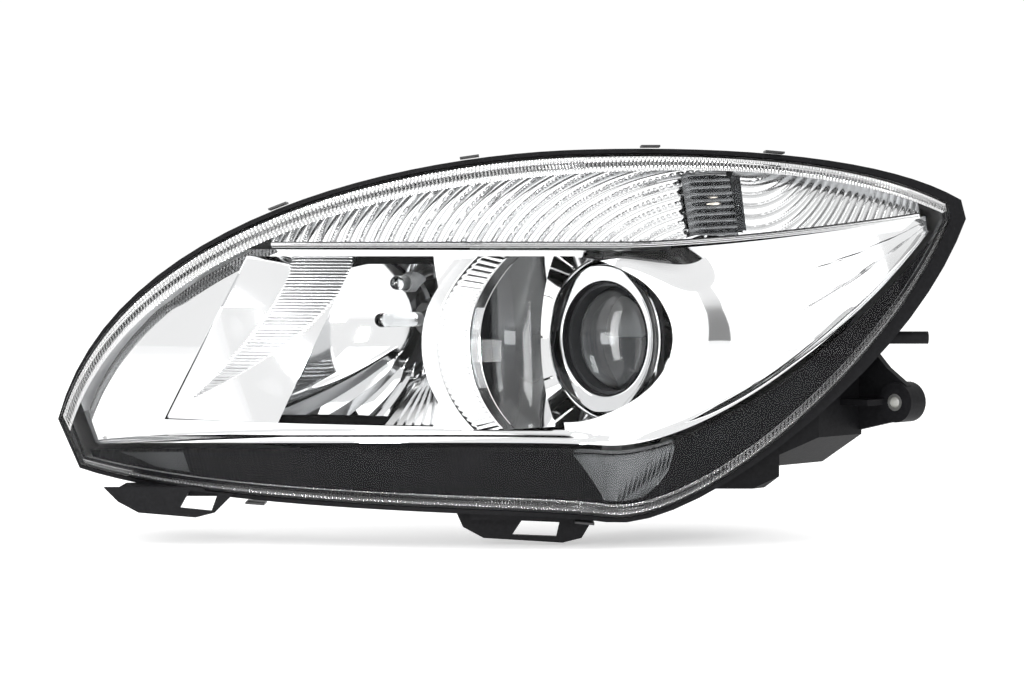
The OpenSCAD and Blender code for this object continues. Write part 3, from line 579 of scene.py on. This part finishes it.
def rim_ribs():
    """The band of fine ribs moulded into the lens just inside its edge, all the way round."""
    run, pitch, per_rib = 620, 2.3, 4
    ns = int(run / pitch * per_rib)

    def ribs(name, mat, upper):
        def point(a, b):
            s = mix(0.004, 0.996, a)
            h = height(s)
            wide = 12 - 3.5 * ease((s - 0.5) / 0.3) if upper else 7.5
            share = np.minimum(mix(1.2, wide, b) / h, 0.45)
            phase = a * ns / per_rib * 2 * np.pi
            depth = 5.0 + 3.5 * b + 0.5 * np.cos(phase) * np.sin(np.pi * b)
            if upper:
                return to_row(*skin(s, share, depth))
            return to_row(*skin(s, 1 - share, depth + LIP_STEP))

        obj = plate(name, point, ns, 5, 0.8, smooth_deg=60)
        outward(obj)
        fit_out(obj, "lamp_body", mat, "clear_lens")

    ribs("rim_ribs_upper", rim_bright, True)
    ribs("rim_ribs_lower", rim_clear, False)


lens_cover()
rim_ribs()


# ---------- bright trim inside ----------
# Shares of the lens's length where the indicator starts, and where its two reflectors meet
BAND_START, BAND_SPLIT = 0.285, 0.735
WELL_A, WELL_B = 41, 75
WELL_LOW, WELL_HIGH = -56, 52
WELL_FLANGE = 21.2
WELL_FLOOR = 62.0
RING_OPENING_R = 51.2
WINDOW = [(-168, 52), (-49, 52), (-44, 20), (-44, -30), (-49, -54), (-222, -52), (-187, 14)]


def half_well():
    """The inboard half of the well's opening, with its flat top and foot."""
    a = np.linspace(np.pi / 2, 3 * np.pi / 2, 100)
    x = LOW_X + (WELL_A + WELL_FLANGE) * np.cos(a)
    z = np.clip((WELL_B + 0.4 * WELL_FLANGE) * np.sin(a), WELL_LOW, WELL_HIGH)
    return np.stack([x, z], 1)


def bezel():
    """The bright plate behind the lens, with the well's, the projector's and the high beam's openings."""
    def s_of(a, b):
        return mix(0.03, 0.965, a)

    def v_of(s, b):
        h = height(s)
        upper = np.maximum(shelf_share(s) + 0.015, TRIM_GAP / h)
        lower = lip_share(s) - TRIM_GAP / h * 0.5
        return mix(upper, np.maximum(lower, upper + 0.05), b)

    def depth_of(a, b, s):
        # The lower edge turns forward to meet the lip, and two soft creases cross the outboard plate
        turn = -5.0 * ease((b - 0.93) / 0.07)
        crease = 1.6 * ease((b - 0.30) / 0.03) * ease((s - 0.72) / 0.06)
        fold = 1.4 * ease((b - 0.62 + 0.35 * (s - 0.75)) / 0.03) * ease((s - 0.74) / 0.06)
        u, w, z = skin(s, v_of(s, b), BEZEL_DEPTH)
        across = (u - w) * math.cos(SWEEP) - LOW_X
        r = np.hypot(across, z)
        # On its outboard side a cone rises to the projector's ring
        cone = -8.5 * (1 - ease((r - 50) / 24)) * ease(across / 20)
        return BEZEL_DEPTH + turn + (crease + fold) * ease((r - 78) / 20) + cone

    obj = skin_plate("bezel_skin", s_of, v_of, depth_of, 240, 60, 2)
    ring_opening = prism(circle(LOW_X, 0, RING_OPENING_R, 96), 0, 150)
    carve(obj, "DIFFERENCE", prism(half_well(), -100, 150), ring_opening, swept_prism(WINDOW, -20, 95))
    fit_out(obj, "lamp_body", bright, "bright_trim", "bezel")


def shelf():
    """The bright strip that parts the indicator from the beams."""
    def front(a, b):
        s = mix(BAND_START, 0.95, a)
        v = shelf_share(s) + (b - 0.5) * 3 / height(s)
        return to_row(*skin(s, v, 7.5 + 0.6 * np.cos(b * np.pi * 2)))
    obj = plate("shelf_edge", front, 160, 8, 15)
    fit_out(obj, "lamp_body", bright, "bright_trim", "shelf_trim")


# Bulb opening of the indicator
LAMP_U, LAMP_Z, LAMP_HOLE_R = 125, 82, 13.5


def flute(phase, sharp=0.6):
    """A row of rounded flutes with narrow valleys, from -1 to 0."""
    return np.abs(np.cos(np.pi * phase)) ** sharp - 1


def band(name, start, end, pitch, depth, swirl, node):
    """Indicator reflector: flutes follow stretched arcs round swirl, which is (u, z, stretch)."""
    def front(a, b):
        s = mix(start, end, a)
        h = height(s)
        v = mix(TRIM_GAP / h, shelf_share(s) - 2.2 / h, b)
        u, w, z = skin(s, v, BAND_DEPTH)
        radius = np.hypot(u - swirl[0], (z - swirl[1]) * swirl[2])
        return to_row(u, w - depth * flute(radius / pitch), z)

    length = LENS_LENGTH * (end - start)
    obj = plate(name, front, int(length / pitch * 12), 40, 3, smooth_deg=60)
    carve(obj, "DIFFERENCE", swept_prism(circle(LAMP_U, LAMP_Z, LAMP_HOLE_R, 48), 20, 90))
    fit_out(obj, "lamp_body", satin, "satin_trim", node)


def indicator_leaves():
    """The stack of level prisms in front of the indicator's bulb, and the speckled strip beside it."""
    def front(a, b):
        u, z = mix(106, 137, a) + 5 * b, mix(103, 65, b)
        leaf = flute(b * 9 + 0.35 * a, 0.8) * ease(a / 0.3)
        return to_row(u, drop(u, z) + 13 - 2.4 * leaf, z)
    obj = plate("indicator_leaves", front, 24, 160, 1, smooth_deg=60)
    fit_out(obj, "lamp_body", smoked, "satin_trim")

    def speckles(a, b):
        u, z = mix(137.5, 144, a) + 3 * b, mix(103, 68, b)
        grain = np.sin(a * 17) * np.sin(b * 95 + 4 * np.sin(a * 9))
        return to_row(u, drop(u, z) + 13.5 - 0.8 * grain, z)
    obj = plate("indicator_speckles", speckles, 16, 120, 1, smooth_deg=20)
    fit_out(obj, "lamp_body", smoked, "satin_trim")


def side_panel():
    """Panel over the inboard side of the high beam bowl; fine level flutes cover a leaf-shaped patch of it."""
    def patch(u, z):
        left = -139 - 84 * np.clip((54 - z) / 108, 0, 1) ** 1.6
        right = -101 - 122 * np.clip((54 - z) / 102, 0, 1) ** 1.9
        return ease((u - left) / 2) * ease((right - u) / 2)

    def front(a, b):
        z = mix(54, -54, b)
        u = mix(-172 - 54 * b ** 0.95, -98 - 50 * b, a)
        return to_row(u, drop(u, z) + 25.2 + 24 * a * (1 - b) - 0.6 * patch(u, z) * flute(z / 2.0), z)

    obj = plate("side_panel", front, 60, 500, 2, smooth_deg=60)
    fit_out(obj, "lamp_body", bright, "satin_trim", "side_reflector")
    obj.data.materials.append(fluted_grey)
    for face in obj.data.polygons:
        u, w, z = from_row(face.center)
        face.material_index = int(patch(u, z) > 0.5)


def corner_fan():
    """Bladed corner of the trim, between the high beam's window and the well."""
    def front(a, b):
        z = mix(-14, -53.5, b)
        u = -45.5 - a * mix(3, 34, b)
        return to_row(u, drop(u, z) + 24.4 + 1.2 * a + 2 * ((a * 5.999) % 1), z)
    obj = plate("corner_fan", front, 120, 30, 0.8, smooth_deg=50)
    fit_out(obj, "lamp_body", satin, "satin_trim")


def lower_mask():
    """The black fluted strip behind the set-back foot of the lens."""
    def s_of(a, b):
        return mix(0.02, 0.96, a)

    def v_of(s, b):
        h = height(s)
        upper = lip_share(s) + 0.2 / h
        return mix(upper, np.maximum(1 - 7 / h, upper + 1 / h), b)

    def depth_of(a, b, s):
        return MASK_DEPTH - 0.5 * flute(a * 250 + b * 9)

    obj = skin_plate("mask_skin", s_of, v_of, depth_of, 2000, 8, 2, 60)
    fit_out(obj, "lamp_body", gloss_black, "dark_trim", "lower_mask")


def lower_inserts():
    """Two fluted windows in the mask, each with slanted ends."""
    for k, (top, foot) in enumerate((((0.062, 0.138), (0.10, 0.138)), ((0.548, 0.678), (0.60, 0.645)))):
        def front(a, b, top=top, foot=foot):
            s = mix(mix(top[0], foot[0], b), mix(top[1], foot[1], b ** 3), a)
            h = height(s)
            v = mix(lip_share(s) + 2 / h, 1 - 10 / h, b)
            u = column(s, v)[..., 0]
            return to_row(*skin(s, v, 13.4 - 1.4 * flute(u / 2.6 + 3 * b, 1.0)))
        obj = plate(f"insert_{k}", front, 220, 16, 2.2, smooth_deg=60)
        fit_out(obj, "lamp_body", insert_grey, "grey_insert", *(["lower_inserts"] if k == 0 else []))


def well():
    """Bright wall of the projector's well, and the ribbed ring round its mouth."""
    first, last = np.radians(95), np.radians(265)

    def ring_point(angle, grow, depth):
        x = LOW_X + (WELL_A + grow) * np.cos(angle)
        z = np.clip((WELL_B + 0.4 * grow) * np.sin(angle), WELL_LOW, WELL_HIGH)
        # The ring lies on the bezel's surface: solve for the depth at which this line meets it
        w = np.full(np.shape(x), 30.0)
        for _ in range(30):
            u = x / math.cos(SWEEP) + w
            w = mix(w, drop(u, z) + depth, 0.7)
        return x / math.cos(SWEEP) + w, w, z

    def wall(inner):
        def surface(p, q):
            u, w, z = ring_point(mix(first, last, p), 0.0 if inner else 1.8, 30.1)
            x = (u - w) * math.cos(SWEEP)
            y = mix((u + w) * math.cos(SWEEP), WELL_FLOOR, q)
            return car_to_row(x, y, z)
        return surface

    obj = plate("well_wall", wall(True), 120, 30, 2, back=wall(False))
    outward(obj)
    fit_out(obj, "lamp_body", bright, "bright_trim", "shroud")

    ribs = 58

    def ring_face(p, q):
        angle = mix(first, last, p)
        grow = mix(21.0, 0.0, q)
        ribbed = ease((q - 0.34) / 0.04) * (1 - ease((q - 0.9) / 0.04))
        step = 2.2 * ease((q - 0.30) / 0.06)
        relief = -0.7 * flute(p * ribs, 1.0) * ribbed
        return to_row(*ring_point(angle, grow, 21 + step + relief))

    def ring_back(p, q):
        return to_row(*ring_point(mix(first, last, p), mix(21.0, 0.0, q), 29.5))

    obj = plate("well_ring", ring_face, ribs * 10, 40, 8, back=ring_back, smooth_deg=50)
    outward(obj)
    fit_out(obj, "lamp_body", satin, "satin_trim", "shroud_ring")


def behind(near, far):
    """The room between two depths behind the lens, over the lamp's middle."""
    def surface(depth):
        def front(a, b):
            u, z = mix(-120, 130, a), mix(110, -110, b)
            return to_row(u, drop(u, z) + depth, z)
        return front
    return plate("cutter", surface(near), 50, 20, 0, back=surface(far))


def funnel():
    """Bright cone between the well and the projector's ring, with shallow spokes."""
    def spokes(angle, r, ahead):
        spoke = np.abs(np.sin(angle * 6)) < 0.05
        return r, ahead + np.where((r > 51) & (r < 65), 0.8 * spoke, 0)
    profile = [(49, 0), (50.5, 0), (50.5, 3.6)]
    profile += [(50.5 + 15.5 * t, 3.6 + 19 * t) for t in np.linspace(0.02, 1, 24)]
    profile += [(66, 23.8), (64.8, 23.8)]
    profile += [(64.8 - 15.8 * t, 23.8 - 18.8 * t) for t in np.linspace(0.04, 1, 24)]
    obj = lathe("funnel", profile, LOW_X, 84, 0, 480, wobble=spokes)
    carve(obj, "INTERSECT", box_between((-80, 50, WELL_LOW), (70, 90, WELL_HIGH)), behind(24.6, 120))
    fit_out(obj, "lamp_body", bright, "bright_trim", "projector_collar")


bezel()
shelf()
band("turn_signal_flutes_inner", BAND_START, BAND_SPLIT - 0.003, 8.8, 2.6, (140, 22, 1.5),
     "indicator_reflector_inner")
band("turn_signal_flutes_outer", BAND_SPLIT + 0.003, 0.955, 4.2, 1.0, (150, 180, 0.6),
     "indicator_reflector_outer")
indicator_leaves()
side_panel()
corner_fan()
lower_mask()
lower_inserts()
well()
funnel()

# ---------- optics ----------
HIGH_X, HIGH_Y, HIGH_Z, FOCAL = -88, 12, 12, 28
BOWL_OUTLINE = [(-158, -49), (-63, -49), (-63, 47), (-122, 47), (-158, 38)]
BOWL_FRONT = 42
POSITION_X, POSITION_Z, POSITION_HOLE_R = -98, 35, 6
RING_Y, LENS_Y, LENS_R = 88, 94, 33.0


def high_bowl():
    """Parabolic bowl of the high beam, with blades on its lower half and a hole for the position lamp."""
    radii = np.concatenate([[11], np.linspace(11.5, 107.5, 120), [108]])
    front = [(r, r * r / (4 * FOCAL)) for r in radii]
    profile = front + [(r, r * r / (4 * FOCAL) - 2) for r in radii[::-1]]

    def blades(angle, r, ahead):
        # Facets fan out over the lower half, each one a step in the surface
        turn = (np.degrees(angle) % 360 - 215) / 110
        inside = ease(turn / 0.08) * ease((1 - turn) / 0.08) * ease((r - 26) / 16)
        saw = (turn * 7) % 1
        return r, ahead + inside * (saw - 0.5) * 0.1 * r

    obj = lathe("high_bowl", profile, HIGH_X, HIGH_Y, HIGH_Z, 420, wobble=blades)
    room = [(-260, -120), (120, -120), (120, 120), (-260, 120)]
    carve(obj, "INTERSECT", prism(BOWL_OUTLINE, -120, 150), swept_prism(room, BOWL_FRONT, 220))
    carve(obj, "DIFFERENCE", prism(circle(POSITION_X, POSITION_Z, POSITION_HOLE_R, 40), -30, 45))
    fit_out(obj, "aiming_frame", bright, "bright_trim", "high_reflector")


def projector_ring():
    """Bright ring with its skirt, and the black bore inside it."""
    profile = [(36.6, 10.6), (37.2, 11), (38.6, 11.2), (45.4, 11.9), (46.8, 11.6), (47.2, 10.6), (46, 7)]
    profile += [(46, 0.2), (48, -11), (48, -31), (46.4, -31), (46.4, -10.6)]
    profile += [(44, -0.4), (44, 8), (43, 9.4), (38, 9.4), (36.6, 9)]
    obj = lathe("ring_bright", profile, LOW_X, RING_Y, 0, 192)
    fit_out(obj, "aiming_frame", bright, "bright_trim", "projector_ring")
    bore = [(35.4, 10.9), (36.5, 10.9), (36.5, 2.4), (35.4, 2.4)]
    obj = lathe("ring_bore", bore, LOW_X, RING_Y, 0, 128)
    fit_out(obj, "aiming_frame", gloss_black, "dark_trim")


def projector_lens():
    """Glass dome on a thin rim."""
    rim, dome = 2.5, 10.0
    arc = [(LENS_R * math.cos(t), rim + dome * math.sin(t)) for t in np.linspace(0, math.pi / 2, 40)]
    arc[-1] = (0, rim + dome)
    obj = lathe("lens_dome", [(0, 0), (LENS_R, 0)] + arc, LOW_X, LENS_Y, 0, 160)
    smooth(obj, 40)
    fit_out(obj, "aiming_frame", optic, "optic_glass", "projector_lens")


high_bowl()
projector_ring()
projector_lens()

# ---------- finishes of the shown CAD nodes ----------
FINISH = {
    "housing": grain_black, "lens_seal": seal_grey, "lens_clips": black_steel, "ear_bush": zinc,
    "bezel_screws": zinc, "aim_frame": cast_grey_lightened_as_painted_light, "level_socket": nylon, "aim_socket": nylon,
    "pivot_cup": nylon, "pivot_stud": zinc, "projector_holder": cast_dark, "lens_retainer": gloss_black,
    "cutoff_shield": steel, "projector_reflector": dull_metal, "projector_screws": zinc,
    "low_bulb_glass": bulb_clear, "low_bulb_base": dull_metal, "low_bulb_clip": steel,
    "low_bulb_plug": plug_black, "high_bulb_glass": bulb_clear, "high_bulb_base": dull_metal,
    "high_bulb_clip": steel, "high_bulb_plug": plug_black, "position_bulb": bulb_clear,
    "position_holder": grey_nylon, "level_rod": zinc, "level_motor_case": motor_black,
    "level_motor_lid": motor_black, "level_motor_socket": plug_black, "level_knob": nylon,
    "aim_rod": zinc, "aim_knob": nylon, "indicator_bulb": bulb_silver, "indicator_bulb_base": brass,
    "indicator_holder": grey_nylon, "low_cap": rubber_black, "high_cap": rubber_black,
    "cap_rings": seal_grey, "main_socket": plug_black, "main_socket_pins": brass, "vents": rubber_black,
    "motor_screws": zinc, "inner_harness": wire_black,
}
SOFT_EDGES = {"housing": 0.0008, "low_cap": 0.0008, "high_cap": 0.0008, "level_motor_case": 0.0012,
              "level_motor_lid": 0.001, "main_socket": 0.0006, "level_motor_socket": 0.0006,
              "indicator_holder": 0.0006, "level_knob": 0.0003, "aim_knob": 0.0003, "vents": 0.0005,
              "aim_frame": 0.0006, "lens_clips": 0.0002, "low_bulb_plug": 0.0005, "high_bulb_plug": 0.0005}


def soften(obj, width):
    bevel = obj.modifiers.new("soft_edge", "BEVEL")
    bevel.width = width
    bevel.segments = 2
    bevel.limit_method = "ANGLE"
    bevel.angle_limit = math.radians(40)
    bevel.use_clamp_overlap = True
    bevel.harden_normals = False


def line_inside(obj, mat):
    """Gives the faces of the housing that look into the lamp a bright lining."""
    obj.data.materials.append(mat)
    middle = Vector(to_row(0.0, 60.0, 0.0))
    shares = np.linspace(0, 1, 60)
    top, foot = along(TOP_ARCS, shares), along(BOTTOM_ARCS, shares)
    for face in obj.data.polygons:
        u, w, z = from_row(face.center)
        low, high = np.interp(u, foot[:, 0], foot[:, 1]), np.interp(u, top[:, 0], top[:, 1])
        inside = low + 2 < z < high - 2
        deep = drop(u, z) + 10 < w < drop(u, z) + 96
        inward = (middle - face.center).dot(face.normal) > 0.3 * (middle - face.center).length
        if inside and deep and inward:
            face.material_index = 1


for name, mat in FINISH.items():
    paint(nodes[name], mat)
    smooth(nodes[name], 32)
    if name in SOFT_EDGES:
        soften(nodes[name], SOFT_EDGES[name])
line_inside(nodes["housing"], inner_silver)
